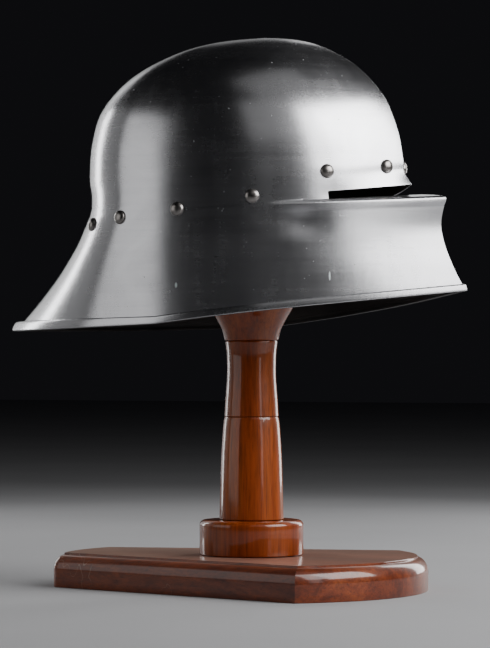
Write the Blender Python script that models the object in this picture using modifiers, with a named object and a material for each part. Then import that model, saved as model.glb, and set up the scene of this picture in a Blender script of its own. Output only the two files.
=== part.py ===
import math

import bmesh
import bpy
from mathutils import Matrix, Vector
from mathutils.bvhtree import BVHTree

# Sallet helmet on its turned wooden stand.
# Metres, +Z up, the helmet faces -Y and its middle plane is x = 0.
# The origin is on the floor, on the axis of the stand's column.

# Sizes of the helmet
FACE_REACH = 0.1886
TAIL_REACH = 0.2245
HALF_WIDTH = 0.1172
HELMET_HEIGHT = 0.2395
TAIL_RIM_HEIGHT = 0.2120
PLATE_THICKNESS = 0.0016
RIM_TURN_IN = 0.0045
RIM_TURN_DROP = 0.0012

# Sizes of the rivets
RIVET_HEAD_RADIUS = 0.0056
RIVET_HEAD_RISE = 0.0034
RIVET_SHANK_RADIUS = 0.0018
RIVET_TAIL_RADIUS = 0.0034
RIVET_TAIL_RISE = 0.0012

# Sizes of the stand
BASE_HEIGHT = 0.0285
BASE_FRONT_HALF = 0.1140
BASE_BACK_HALF = 0.0470
BASE_FRONT_Y = -0.0900
BASE_BACK_Y = 0.1595
BASE_FRONT_BOW = 0.0545
BASE_BACK_BOW = 0.0080
BASE_BACK_ROUND = 0.0105
BASE_EDGE_INSET = 0.0095
COLLAR_RADIUS = 0.0426
COLLAR_HEIGHT = 0.0285
COLLAR_ROUND = 0.0045
COLLAR_FOOT_EASE = 0.0012
COLUMN_FOOT_RADIUS = 0.0264
LOWER_JOINT_HEIGHT = 0.1415
UPPER_JOINT_HEIGHT = 0.2040
HEAD_RADIUS = 0.0520
HEAD_NECK_RADIUS = 0.0390
HEAD_TOP_DROP = 0.0014
HEAD_FLARE_HEIGHT = 0.0360

# Share of the front's curve that the eye slit takes, from the middle line to its end
SIGHT_SHARE = 0.381
# Fullness of the outlines' curves beside the widest station and at the middle line
SIDE_FULLNESS_SHARE = 0.56
TIP_FULLNESS_SHARE = 0.55
# Fullness of the rim's turn at the front and back tips, against that at the sides
RIM_TIP_SHARE = 1.5

# Gap kept between pieces that touch
GAP = 0.0003
# Extra room under a rivet's head and end, where the plate curves away from a flat seat
SEAT_ROOM = 0.0003
SEAT_SEARCH = 0.0120

# How finely the surfaces are divided
SIGHT_COLUMNS = 7
CHEEK_COLUMNS = 6
BACK_COLUMNS = 12
TURNED_STEPS = 32
RIVET_STEPS = 12

# Outlines of the helmet's plate, from the crown down to the rim.
# front: reach of the skull's middle line ahead of the column, share of FACE_REACH
# push, fade: how far the front stands ahead of the skull's own line, share of
#   FACE_REACH, and the share of the front's curve over which that fades out
# back: reach of the middle line behind the column, share of TAIL_REACH
# half: half width at the widest station, share of HALF_WIDTH
# middle: place of the widest station, share of FACE_REACH
# up_front, up_side, up_back: height over the tail's rim, share of HELMET_HEIGHT
# climb: power of the rise from the side to the front
# keel_front, keel_back: degrees that the side faces turn back from the middle line
# full_back: fullness of the back's curve at the side
LEVEL_COLUMNS = (
    "front", "push", "fade", "back", "half", "middle", "up_front", "up_side", "up_back",
    "climb", "keel_front", "keel_back", "full_back",
)
SKULL_SHARES = (
    (0.064, 0.000, 0.40, -0.053, 0.000, 0.064, 1.000, 1.000, 1.000, 1.6, 20.0, 12.0, 0.55),
    (0.212, 0.000, 0.40, 0.107, 0.275, -0.050, 0.988, 0.977, 0.983, 1.6, 22.0, 12.0, 0.55),
    (0.350, 0.000, 0.40, 0.263, 0.500, -0.155, 0.956, 0.935, 0.939, 1.6, 24.0, 11.0, 0.55),
    (0.498, 0.000, 0.40, 0.450, 0.734, -0.159, 0.889, 0.864, 0.860, 1.6, 24.0, 10.0, 0.55),
    (0.620, 0.000, 0.40, 0.569, 0.887, -0.159, 0.787, 0.760, 0.752, 1.6, 24.0, 9.0, 0.55),
    (0.684, 0.000, 0.40, 0.608, 0.951, -0.159, 0.676, 0.643, 0.635, 1.6, 23.0, 8.0, 0.55),
    (0.711, 0.000, 0.40, 0.616, 0.968, -0.159, 0.572, 0.526, 0.518, 1.6, 23.0, 8.0, 0.55),
    (0.716, 0.000, 0.40, 0.606, 0.973, -0.159, 0.526, 0.468, 0.463, 2.0, 23.0, 8.0, 0.55),
    (0.716, 0.036, 0.40, 0.608, 0.974, -0.159, 0.487, 0.424, 0.418, 2.2, 23.0, 9.0, 0.55),
)
LEDGE_SHARES = (
    (0.716, 0.085, 0.47, 0.620, 0.975, -0.159, 0.452, 0.394, 0.390, 1.3, 23.0, 10.0, 0.55),
    (0.716, 0.184, 0.47, 0.632, 0.976, -0.159, 0.443, 0.382, 0.375, 1.1, 23.0, 11.0, 0.55),
    (0.716, 0.180, 0.47, 0.646, 0.977, -0.159, 0.411, 0.361, 0.355, 1.1, 23.0, 12.0, 0.55),
)
FACE_SHARES = (
    (0.716, 0.180, 0.47, 0.646, 0.977, -0.159, 0.411, 0.361, 0.355, 1.1, 23.0, 12.0, 0.55),
    (0.721, 0.162, 0.48, 0.691, 0.981, -0.159, 0.349, 0.296, 0.292, 1.0, 23.0, 15.0, 0.55),
    (0.726, 0.175, 0.50, 0.778, 0.981, -0.159, 0.280, 0.209, 0.200, 1.0, 23.0, 20.0, 0.51),
    (0.737, 0.207, 0.54, 0.887, 0.983, -0.159, 0.200, 0.109, 0.096, 1.0, 23.0, 28.0, 0.47),
    (0.745, 0.233, 0.58, 0.949, 0.985, -0.159, 0.152, 0.045, 0.036, 1.0, 23.0, 33.0, 0.45),
)
BAND_SHARES = (
    (0.745, 0.233, 0.58, 0.949, 0.985, -0.159, 0.152, 0.045, 0.036, 1.0, 23.0, 33.0, 0.45),
    (0.758, 0.236, 0.60, 0.993, 0.995, -0.159, 0.147, 0.040, 0.030, 1.0, 23.0, 33.0, 0.43),
    (0.764, 0.236, 0.60, 1.000, 1.000, -0.159, 0.131, 0.022, 0.005, 1.0, 23.0, 33.0, 0.43),
)

# Steps down each group of outlines, as fractional row numbers
SKULL_STEPS = (0.0, 0.45, 1.0, 1.5, 2.0, 2.5, 3.0, 3.5, 4.0, 4.5, 5.0, 6.0, 7.0, 7.6, 8.0)
LEDGE_STEPS = (0.0, 1.0, 2.0)
FACE_STEPS = (0.5, 1.0, 1.5, 2.0, 2.5, 3.0, 3.5, 4.0)
BAND_STEPS = (1.0, 2.0)

# Rivets on the wearer's right side; each one has a mate on the left.
# group: the outlines it sits between; row: fractional row in them
# quarter: front or back of the widest station; turn: share of the curve from its tip
RIVET_COLUMNS = ("name", "group", "row", "quarter", "turn")
RIVETS = (
    ("brow", "skull", 6.42, "front", 0.098),
    ("temple", "skull", 6.56, "front", 0.385),
    ("cheek", "skull", 7.90, "front", 0.677),
    ("ear", "ledge", 0.00, "front", 0.932),
    ("nape", "ledge", 1.20, "back", 0.795),
    ("back", "ledge", 1.90, "back", 0.530),
)

# Turned profiles, from the top of each piece down.
# radius: share of COLUMN_FOOT_RADIUS
# down: share of the piece's own height, from its top (0) to its foot (1)
# up: share of HEAD_FLARE_HEIGHT over the column's upper joint
COLUMN_COLUMNS = ("radius", "down")
LOWER_COLUMN_SHARES = (
    (0.830, 0.000), (0.848, 0.014), (0.879, 0.090), (0.915, 0.247),
    (0.943, 0.403), (0.960, 0.559), (0.975, 0.717), (1.000, 1.000),
)
MIDDLE_COLUMN_SHARES = (
    (0.795, 0.000), (0.812, 0.020), (0.793, 0.078), (0.768, 0.182),
    (0.760, 0.287), (0.758, 0.388), (0.763, 0.494), (0.780, 0.599),
    (0.797, 0.705), (0.817, 0.809), (0.829, 0.916), (0.840, 1.000),
)
FLARE_COLUMNS = ("radius", "up")
HEAD_FLARE_SHARES = (
    (1.420, 1.000), (1.280, 0.722), (1.120, 0.528),
    (1.020, 0.389), (0.930, 0.256), (0.870, 0.111), (0.842, 0.000),
)

# Moulded edge of the base plate, from its foot up.
# inset: share of BASE_EDGE_INSET; height: share of BASE_HEIGHT
EDGE_COLUMNS = ("inset", "height")
BASE_EDGE_SHARES = (
    (0.12, 0.000), (0.00, 0.042), (0.00, 0.500), (0.05, 0.620), (0.17, 0.735),
    (0.40, 0.835), (0.66, 0.900), (0.88, 0.935), (0.93, 0.980), (1.00, 1.000),
)
# Steps along the base plate's front bow, its back corners and its back bow
FRONT_BOW_STEPS = 16
CORNER_STEPS = 3
BACK_BOW_STEPS = 4


def clear_scene():
    for item in list(bpy.data.objects):
        bpy.data.objects.remove(item, do_unlink=True)


def make_collection(name):
    group = bpy.data.collections.new(name)
    bpy.context.scene.collection.children.link(group)
    return group


def make_material(name, colour, metallic, roughness):
    material = bpy.data.materials.new(name)
    material.use_nodes = True
    shader = material.node_tree.nodes["Principled BSDF"]
    shader.inputs["Base Color"].default_value = (*colour, 1.0)
    shader.inputs["Metallic"].default_value = metallic
    shader.inputs["Roughness"].default_value = roughness
    material.diffuse_color = (*colour, 1.0)
    return material


def add_object(name, mesh, collection, colour=(0.5, 0.5, 0.5), metallic=0.0, roughness=0.5):
    item = bpy.data.objects.new(name, mesh)
    collection.objects.link(item)
    mesh.materials.append(make_material(name, colour, metallic, roughness))
    return item


def apply_modifiers(item):
    for other in bpy.context.selected_objects:
        other.select_set(False)
    bpy.context.view_layer.objects.active = item
    item.select_set(True)
    for modifier in list(item.modifiers):
        bpy.ops.object.modifier_apply(modifier=modifier.name)
    item.select_set(False)


def shade(item, degrees):
    item.data.shade_smooth()
    item.data.set_sharp_from_angle(angle=math.radians(degrees))


def row_at(levels, step):
    """Outline between two table rows, on a smooth curve through the rows around it."""
    low = min(int(step), len(levels) - 2)
    share = step - low
    before = levels[max(low - 1, 0)]
    start = levels[low]
    end = levels[low + 1]
    after = levels[min(low + 2, len(levels) - 1)]
    values = []
    for p0, p1, p2, p3 in zip(before, start, end, after):
        slope = p2 - p0
        bend = 2.0 * p0 - 5.0 * p1 + 4.0 * p2 - p3
        twist = 3.0 * p1 - p0 - 3.0 * p2 + p3
        values.append(p1 + 0.5 * (slope * share + bend * share ** 2 + twist * share ** 3))
    return dict(zip(LEVEL_COLUMNS, values))


def curve(share, tip, tip_handle, side_handle, side):
    rest = 1.0 - share
    return (
        rest ** 3 * tip
        + 3.0 * share * rest ** 2 * tip_handle
        + 3.0 * share ** 2 * rest * side_handle
        + share ** 3 * side
    )


def plate_point(row, quarter, share):
    """Point of an outline on the wearer's right side.

    The share runs from the middle line (0) to the widest station (1).
    """
    half = row["half"] * HALF_WIDTH
    middle = row["middle"] * FACE_REACH
    up_side = row["up_side"]
    if quarter == "front":
        tip = row["front"] * FACE_REACH
        keel = math.radians(row["keel_front"])
        side_handle = middle + SIDE_FULLNESS_SHARE * (tip - middle)
        handle = TIP_FULLNESS_SHARE * half
        along = curve(share, tip, tip - handle * math.sin(keel), side_handle, middle)
        push = row["push"] * FACE_REACH
        along += push * max(1.0 - share / row["fade"], 0.0) ** 2
        ahead = (along - middle) / max(tip + push - middle, 1e-6)
        up = up_side + (row["up_front"] - up_side) * max(ahead, 0.0) ** row["climb"]
    else:
        tip = -row["back"] * TAIL_REACH
        keel = math.radians(row["keel_back"])
        side_handle = middle + row["full_back"] * (tip - middle)
        handle = TIP_FULLNESS_SHARE * half
        along = curve(share, tip, tip + handle * math.sin(keel), side_handle, middle)
        behind = (along - middle) / min(tip - middle, -1e-6)
        up = row["up_back"] + (up_side - row["up_back"]) * (1.0 - behind) ** 2
    across = curve(share, 0.0, handle * math.cos(keel), half, half)
    return Vector((-across, -along, TAIL_RIM_HEIGHT + up * HELMET_HEIGHT))


def ring_places():
    """Quarter and share of every column, from the front's middle line to the back's."""
    places = []
    for step in range(SIGHT_COLUMNS + 1):
        places.append(("front", SIGHT_SHARE * step / SIGHT_COLUMNS))
    for step in range(1, CHEEK_COLUMNS + 1):
        places.append(("front", SIGHT_SHARE + (1.0 - SIGHT_SHARE) * step / CHEEK_COLUMNS))
    for step in range(1, BACK_COLUMNS + 1):
        places.append(("back", 1.0 - step / BACK_COLUMNS))
    return places


def turned_in(row):
    """Lower edge of the rim, rolled under to the inside."""
    edge = dict(row)
    edge["front"] -= RIM_TURN_IN * RIM_TIP_SHARE / FACE_REACH
    edge["back"] -= RIM_TURN_IN * RIM_TIP_SHARE / TAIL_REACH
    edge["half"] -= RIM_TURN_IN / HALF_WIDTH
    for name in ("up_front", "up_side", "up_back"):
        edge[name] -= RIM_TURN_DROP / HELMET_HEIGHT
    return edge


def build_plate(collection):
    """One sheet for skull, face and tail, left open at the sight and thickened inward."""
    rows = [row_at(SKULL_SHARES, step) for step in SKULL_STEPS]
    lip_row = len(rows) - 1
    rows += [row_at(LEDGE_SHARES, step) for step in LEDGE_STEPS]
    rows += [row_at(FACE_SHARES, step) for step in FACE_STEPS]
    rows += [row_at(BAND_SHARES, step) for step in BAND_STEPS]
    rows.append(turned_in(rows[-1]))
    places = ring_places()
    sheet = bmesh.new()
    crown = sheet.verts.new(plate_point(rows[0], "front", 0.0))
    grid = []
    for row in rows[1:]:
        points = [plate_point(row, quarter, share) for quarter, share in places]
        points[0].x = 0.0
        points[-1].x = 0.0
        grid.append([sheet.verts.new(point) for point in points])
    for left, right in zip(grid[0][:-1], grid[0][1:]):
        sheet.faces.new((crown, right, left))
    for number, (upper, lower) in enumerate(zip(grid[:-1], grid[1:]), start=1):
        for column in range(len(places) - 1):
            if number == lip_row and column < SIGHT_COLUMNS:
                continue
            sheet.faces.new((upper[column], upper[column + 1], lower[column + 1], lower[column]))
    mesh = bpy.data.meshes.new("helmet_shell")
    sheet.to_mesh(mesh)
    sheet.free()
    plate = add_object("helmet_shell", mesh, collection, (0.56, 0.57, 0.58), 1.0, 0.28)
    mirror = plate.modifiers.new("other_side", "MIRROR")
    mirror.use_clip = True
    mirror.merge_threshold = 0.00001
    wall = plate.modifiers.new("wall", "SOLIDIFY")
    wall.thickness = PLATE_THICKNESS
    wall.offset = -1.0
    wall.use_even_offset = True
    return plate


def rivet_seat(rivet, side, facets):
    """Place of a rivet on the plate and the plate's depth there, measured on its facets.

    The place's local Z runs along the plate's outward normal.
    """
    levels = SKULL_SHARES if rivet["group"] == "skull" else LEDGE_SHARES
    row = row_at(levels, rivet["row"])
    quarter = rivet["quarter"]
    point = plate_point(row, quarter, rivet["turn"])
    beside = plate_point(row, quarter, rivet["turn"] + 0.02)
    nearby = rivet["row"] - 0.1 if rivet["row"] > 0.5 else rivet["row"] + 0.1
    off_row = plate_point(row_at(levels, nearby), quarter, rivet["turn"])
    outward = (beside - point).cross(off_row - point).normalized()
    if outward.x > 0.0:
        outward.negate()
    if side == "left":
        point.x = -point.x
        outward.x = -outward.x
    seat, normal, _, _ = facets.ray_cast(point + outward * SEAT_SEARCH, -outward)
    inner, _, _, _ = facets.ray_cast(seat - normal * SEAT_SEARCH, normal)
    turn = normal.to_track_quat("Z", "Y").to_matrix().to_4x4()
    return Matrix.Translation(seat) @ turn, (seat - inner).length


def build_rivet_holes(frames, collection):
    """Drills for the rivets' shanks, one clearance wider than the shank."""
    drills = bmesh.new()
    for frame in frames:
        bmesh.ops.create_cone(
            drills, cap_ends=True, segments=RIVET_STEPS,
            radius1=RIVET_SHANK_RADIUS + GAP, radius2=RIVET_SHANK_RADIUS + GAP,
            depth=SEAT_SEARCH, matrix=frame,
        )
    mesh = bpy.data.meshes.new("rivet_drills")
    drills.to_mesh(mesh)
    drills.free()
    item = bpy.data.objects.new("rivet_drills", mesh)
    collection.objects.link(item)
    item.hide_render = True
    item.display_type = "WIRE"
    return item


def build_rivet(name, frame, depth, collection):
    """Domed head outside, shank through the plate, small closed end inside."""
    under = GAP + SEAT_ROOM
    end = -depth - GAP - SEAT_ROOM
    profile = [(0.0, under + RIVET_HEAD_RISE)]
    for degrees in (28.0, 55.0, 78.0):
        angle = math.radians(degrees)
        profile.append((
            RIVET_HEAD_RADIUS * math.sin(angle),
            under + RIVET_HEAD_RISE * math.cos(angle),
        ))
    profile += [
        (RIVET_HEAD_RADIUS, under),
        (RIVET_SHANK_RADIUS, under),
        (RIVET_SHANK_RADIUS, end),
        (RIVET_TAIL_RADIUS, end),
        (RIVET_TAIL_RADIUS * 0.7, end - RIVET_TAIL_RISE),
        (0.0, end - RIVET_TAIL_RISE),
    ]
    item = turned_piece(name, profile, RIVET_STEPS, collection, (0.60, 0.61, 0.62), 1.0, 0.25)
    item.data.transform(frame)
    return item


def turned_piece(name, profile, steps, collection, colour, metallic, roughness):
    """Solid of revolution from a profile that runs from the top of the axis to its foot."""
    line = bmesh.new()
    points = [line.verts.new((radius, 0.0, height)) for radius, height in profile]
    for upper, lower in zip(points[:-1], points[1:]):
        line.edges.new((upper, lower))
    mesh = bpy.data.meshes.new(name)
    line.to_mesh(mesh)
    line.free()
    item = add_object(name, mesh, collection, colour, metallic, roughness)
    turn = item.modifiers.new("turn", "SCREW")
    turn.axis = "Z"
    turn.angle = 2.0 * math.pi
    turn.steps = steps
    turn.render_steps = steps
    turn.use_merge_vertices = True
    turn.merge_threshold = 0.00002
    apply_modifiers(item)
    shade(item, 40.0)
    return item


def wood_piece(name, profile, collection):
    return turned_piece(name, profile, TURNED_STEPS, collection, (0.36, 0.13, 0.05), 0.0, 0.3)


def closed_profile(table, top, foot):
    """Profile of a column section between two heights, closed on the axis at both ends."""
    profile = [(0.0, top)]
    for values in table:
        row = dict(zip(COLUMN_COLUMNS, values))
        profile.append((row["radius"] * COLUMN_FOOT_RADIUS, top - row["down"] * (top - foot)))
    profile.append((0.0, foot))
    return profile


def build_column(collection):
    collar_foot = BASE_HEIGHT + GAP
    collar_top = collar_foot + COLLAR_HEIGHT
    collar = [(0.0, collar_top)]
    for degrees in (0.0, 22.5, 45.0, 67.5, 90.0):
        angle = math.radians(degrees)
        collar.append((
            COLLAR_RADIUS - COLLAR_ROUND * (1.0 - math.sin(angle)),
            collar_top - COLLAR_ROUND * (1.0 - math.cos(angle)),
        ))
    collar += [
        (COLLAR_RADIUS, collar_foot + COLLAR_FOOT_EASE),
        (COLLAR_RADIUS - COLLAR_FOOT_EASE, collar_foot),
        (0.0, collar_foot),
    ]
    wood_piece("collar", collar, collection)
    lower_joint = LOWER_JOINT_HEIGHT - GAP / 2.0
    upper_joint = UPPER_JOINT_HEIGHT - GAP / 2.0
    lower = closed_profile(LOWER_COLUMN_SHARES, lower_joint, collar_top + GAP)
    wood_piece("column_lower", lower, collection)
    middle = closed_profile(MIDDLE_COLUMN_SHARES, upper_joint, lower_joint + GAP)
    wood_piece("column_middle", middle, collection)


def build_head_post(collection):
    """Flared top of the column, carried on as a plain domed head under the crown."""
    top = TAIL_RIM_HEIGHT + HELMET_HEIGHT - PLATE_THICKNESS - HEAD_TOP_DROP
    foot = UPPER_JOINT_HEIGHT + GAP / 2.0
    centre = top - HEAD_RADIUS
    profile = [(0.0, top)]
    for degrees in (15.0, 30.0, 45.0, 60.0, 75.0, 90.0):
        angle = math.radians(degrees)
        profile.append((HEAD_RADIUS * math.sin(angle), centre + HEAD_RADIUS * math.cos(angle)))
    profile.append((HEAD_NECK_RADIUS, centre - HEAD_RADIUS / 2.0))
    for values in HEAD_FLARE_SHARES:
        row = dict(zip(FLARE_COLUMNS, values))
        profile.append((row["radius"] * COLUMN_FOOT_RADIUS, foot + row["up"] * HEAD_FLARE_HEIGHT))
    profile.append((0.0, foot))
    wood_piece("head_post", profile, collection)


def bow_radius(half, bow):
    """Radius of the arc that rises by its bow over a chord of twice the half width."""
    return (half ** 2 + bow ** 2) / (2.0 * bow)


def reach_circle(normal, level, centre, radius, sign):
    """Where the line at a level along its normal meets a circle, behind (1) or ahead (-1)."""
    along = Vector((-normal.y, normal.x))
    start = normal * level - centre
    before = start.dot(along)
    reach = math.sqrt(before ** 2 - start.length_squared + radius ** 2)
    return normal * level + along * (sign * reach - before)


def arc(centre, radius, first, last, steps):
    """Points about a centre between two directions, measured from +X."""
    turn = (last - first) / steps
    return [
        (
            centre.x + radius * math.cos(first + turn * step),
            centre.y + radius * math.sin(first + turn * step),
        )
        for step in range(steps + 1)
    ]


def base_outline(inset):
    """Outline of the base plate moved in by inset: bowed front, straight sides, bowed back."""
    spread = BASE_FRONT_HALF - BASE_BACK_HALF
    depth = BASE_BACK_Y - BASE_FRONT_Y
    normal = Vector((depth, spread)).normalized()
    level = normal.dot(Vector((BASE_FRONT_HALF, BASE_FRONT_Y))) - inset
    front_radius = bow_radius(BASE_FRONT_HALF, BASE_FRONT_BOW)
    front_centre = Vector((0.0, BASE_FRONT_Y - BASE_FRONT_BOW + front_radius))
    back_radius = bow_radius(BASE_BACK_HALF, BASE_BACK_BOW)
    back_centre = Vector((0.0, BASE_BACK_Y + BASE_BACK_BOW - back_radius))
    front_corner = reach_circle(normal, level, front_centre, front_radius - inset, -1.0)
    from_corner = front_corner - front_centre
    bow_end = math.atan2(from_corner.y, from_corner.x)
    outline = arc(
        front_centre, front_radius - inset, -math.pi - bow_end, bow_end, FRONT_BOW_STEPS,
    )
    corner_radius = BASE_BACK_ROUND - inset
    corner_centre = reach_circle(
        normal, level - corner_radius, back_centre, back_radius - inset - corner_radius, 1.0,
    )
    side_angle = math.atan2(normal.y, normal.x)
    from_back = corner_centre - back_centre
    back_angle = math.atan2(from_back.y, from_back.x)
    right = arc(corner_centre, corner_radius, side_angle, back_angle, CORNER_STEPS)
    outline += right
    outline += arc(
        back_centre, back_radius - inset, back_angle, math.pi - back_angle, BACK_BOW_STEPS,
    )[1:-1]
    outline += [(-x, y) for x, y in reversed(right)]
    return outline


def build_base(collection):
    """Base plate with a moulded edge: upright foot, round shoulder, small step and flat top."""
    solid = bmesh.new()
    rings = []
    for values in BASE_EDGE_SHARES:
        row = dict(zip(EDGE_COLUMNS, values))
        outline = base_outline(row["inset"] * BASE_EDGE_INSET)
        rings.append([solid.verts.new((x, y, row["height"] * BASE_HEIGHT)) for x, y in outline])
    solid.faces.new(list(reversed(rings[0])))
    solid.faces.new(rings[-1])
    for lower, upper in zip(rings[:-1], rings[1:]):
        for number in range(len(lower)):
            beside = (number + 1) % len(lower)
            solid.faces.new((lower[number], lower[beside], upper[beside], upper[number]))
    mesh = bpy.data.meshes.new("base_plate")
    solid.to_mesh(mesh)
    solid.free()
    item = add_object("base_plate", mesh, collection, (0.36, 0.13, 0.05), 0.0, 0.3)
    shade(item, 25.0)
    return item


def build():
    clear_scene()
    helmet = make_collection("sallet_on_stand")
    cutters = make_collection("cutters")
    plate = build_plate(helmet)
    apply_modifiers(plate)
    surface = bmesh.new()
    surface.from_mesh(plate.data)
    facets = BVHTree.FromBMesh(surface)
    surface.free()
    frames = []
    for values in RIVETS:
        rivet = dict(zip(RIVET_COLUMNS, values))
        for side in ("right", "left"):
            frame, depth = rivet_seat(rivet, side, facets)
            frames.append(frame)
            build_rivet("rivet_" + rivet["name"] + "_" + side, frame, depth, helmet)
    drills = build_rivet_holes(frames, cutters)
    holes = plate.modifiers.new("rivet_holes", "BOOLEAN")
    holes.operation = "DIFFERENCE"
    holes.solver = "EXACT"
    holes.object = drills
    apply_modifiers(plate)
    shade(plate, 32.0)
    build_base(helmet)
    build_column(helmet)
    build_head_post(helmet)


build()
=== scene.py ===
import math

import bmesh
import bpy
from mathutils import Matrix, Vector


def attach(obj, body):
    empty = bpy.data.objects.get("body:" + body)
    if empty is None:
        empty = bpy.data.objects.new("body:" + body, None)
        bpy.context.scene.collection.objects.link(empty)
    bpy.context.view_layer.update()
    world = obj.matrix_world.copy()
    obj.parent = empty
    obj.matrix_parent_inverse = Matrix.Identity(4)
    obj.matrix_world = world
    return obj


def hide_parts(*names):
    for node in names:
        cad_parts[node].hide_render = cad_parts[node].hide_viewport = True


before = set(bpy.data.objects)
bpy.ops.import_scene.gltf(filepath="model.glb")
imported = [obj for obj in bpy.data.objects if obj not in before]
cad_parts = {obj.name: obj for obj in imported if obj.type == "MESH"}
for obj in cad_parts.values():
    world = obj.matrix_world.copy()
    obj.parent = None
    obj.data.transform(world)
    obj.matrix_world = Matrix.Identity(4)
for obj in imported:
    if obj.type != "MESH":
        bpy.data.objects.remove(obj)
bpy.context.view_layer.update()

# Sallet helmet on a turned wooden stand: metres, +Z up, the helmet faces -Y.

# Sizes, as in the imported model
FACE_REACH = 0.1886
TAIL_REACH = 0.2245
HALF_WIDTH = 0.1172
HELMET_HEIGHT = 0.2395
TAIL_RIM_HEIGHT = 0.2120
PLATE_THICKNESS = 0.0016
RIM_TURN_IN = 0.0045
SIGHT_SHARE = 0.381
SIDE_FULLNESS_SHARE = 0.56
TIP_FULLNESS_SHARE = 0.55
RIVET_HEAD_RADIUS = 0.0056
RIVET_HEAD_RISE = 0.0036
BASE_HEIGHT = 0.0285
BASE_FRONT_HALF = 0.1140
BASE_BACK_HALF = 0.0470
BASE_FRONT_Y = -0.0900
BASE_BACK_Y = 0.1595
BASE_FRONT_BOW = 0.0545
BASE_BACK_BOW = 0.0080
BASE_BACK_ROUND = 0.0105
BASE_EDGE_INSET = 0.0095
COLLAR_RADIUS = 0.0426
COLLAR_HEIGHT = 0.0285
COLLAR_ROUND = 0.0045
COLLAR_FOOT_EASE = 0.0012
COLUMN_FOOT_RADIUS = 0.0264
LOWER_JOINT_HEIGHT = 0.1415
UPPER_JOINT_HEIGHT = 0.2040
HEAD_RADIUS = 0.0520
HEAD_NECK_RADIUS = 0.0390
HEAD_TOP_DROP = 0.0014
HEAD_FLARE_HEIGHT = 0.0360
GAP = 0.0003

# How far the ends of the column's sections are eased, so that the joints show
JOINT_EASE = 0.0006

# Where the middle of the collar's eased foot edge lies, as a share of the ease
FOOT_EASE_SHARE = 0.3

# How far below its centre the domed head has tapered to the neck, as a share of its radius
HEAD_TAPER_SHARE = 0.5

# Shoulder of the base plate's edge: height of its foot, its rise, its depth and its last angle
SHOULDER_FOOT = 0.0142
SHOULDER_RISE = 0.0125
SHOULDER_DEPTH = 0.0088
SHOULDER_END = math.radians(84.0)

# Base plate's edge below the shoulder: distance inward of its outline, and height
BASE_FOOT_SECTION = ((0.0009, 0.0), (0.0003, 0.0003), (0.0, 0.0010), (0.0, 0.0070))

# Base plate's edge above the shoulder: distance inward of the top's outline, and depth below it
BASE_TOP_SECTION = (
    (-0.0012, 0.0018), (-0.0010, 0.0016), (-0.0008, 0.0005), (-0.0004, 0.0001), (0.0002, 0.0),
)

# Rivets: last angle of the dome, how full it is, the heights of its foot and edge, how far its
# underside sinks into the plate and at which share of its radius, and the shank's radius
RIVET_DOME_END = math.radians(88.0)
RIVET_FULLNESS = 0.92
RIVET_DOME_FOOT = 0.0003
RIVET_EDGE = 0.0001
RIVET_SINK = 0.0002
RIVET_SINK_SHARE = 0.97
RIVET_SHANK_RADIUS = 0.0018

# Flattened inner end of a rivet: radius, and depth beyond the plate's inner face
RIVET_END = ((0.0034, 0.0001), (0.0032, 0.0008), (0.0024, 0.0013), (0.0, 0.0015))

# Shallow hollow under the rear end of the ledge: middle, half length, half height, depth
DENT_ALONG = 0.0800
DENT_HEIGHT = 0.2960
DENT_HALF_LENGTH = 0.0150
DENT_HALF_HEIGHT = 0.0110
DENT_DEPTH = 0.0026

# Slight bulge of the face plate's sides, between the middle line and its end; it grows over
# so many rows under the ledge
BULGE_ROWS = 8
BULGE_END_SHARE = 0.62
BULGE_RISE = 0.0028
BULGE_ACROSS = 0.72
BULGE_AHEAD = 0.69

# Near the crown the outlines' height leaves their sides without a crease: share of the
# helmet's height at which that starts, and from which it holds in full
ROUND_FROM = 0.60
ROUND_FULL = 0.85

# Columns of the plate's sheet: shares near the keel in front and behind, where the even steps
# start behind, and the steps along the sight, the cheek and the back
KEEL_SHARES = (0.0, 0.002, 0.005, 0.009, 0.015, 0.024, 0.036)
BACK_KEEL_SHARES = (0.024, 0.015, 0.008, 0.004, 0.0)
BACK_KEEL_END = 0.035
SIGHT_STEPS = 22
CHEEK_STEPS = 26
BACK_STEPS = 34

# Rows of the plate's sheet: table steps over the crown, how many rows each further table step
# is divided into, and shares of the way across the sight
CROWN_STEPS = (0.12, 0.25, 0.4, 0.55, 0.7, 0.85)
SKULL_PARTS = 7
LIP_PARTS = 8
SIGHT_SHARES = (0.34, 0.67, 1.0)
LEDGE_PARTS = 8
FACE_PARTS = 9

# Last rows, turned under the rim: shares of the turn, and how much of it goes along and across
RIM_TURN_STEPS = (0.45, 1.0)
RIM_TURN_ALONG = 0.8
RIM_TURN_ACROSS = 0.6

# How finely the turned pieces, the rivets and the base plate's outline are divided
COLUMN_STEPS = 96
COLLAR_STEPS = 128
COLLAR_ROUND_STEPS = 10
HEAD_DOME_STEPS = 18
PROFILE_PARTS = 5
RIVET_STEPS = 40
RIVET_DOME_STEPS = 12
BASE_FRONT_STEPS = 72
BASE_CORNER_STEPS = 12
BASE_BACK_STEPS = 24
SHOULDER_STEPS = 12

# Smallest reach of an outline that counts, smallest radius that still gets a ring of its own,
# and how near the points of the two halves have to lie to be joined
SMALLEST_REACH = 1e-6
SMALLEST_RADIUS = 1e-7
MERGE_REACH = 1e-5

# Steps along and across an outline over which the plate's slope is read at a rivet
PROBE_SHARE = 0.01
PROBE_ROW = 0.05

# Plain floor under the stand: half its width
FLOOR_HALF = 9.0

# Camera: it stands on the helmet's right front, a little below the column's upper joint, and
# aims a little to the left of the column's axis
VIEW_AZIMUTH = math.radians(-65.0)
VIEW_DISTANCE = 2.459
VIEW_HEIGHT = 0.192
VIEW_LENS = 166.7
VIEW_SENSOR = 36.0
VIEW_FAR = 100.0
AIM_ACROSS = -0.00533
AIM_HEIGHT = 0.2174

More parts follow.
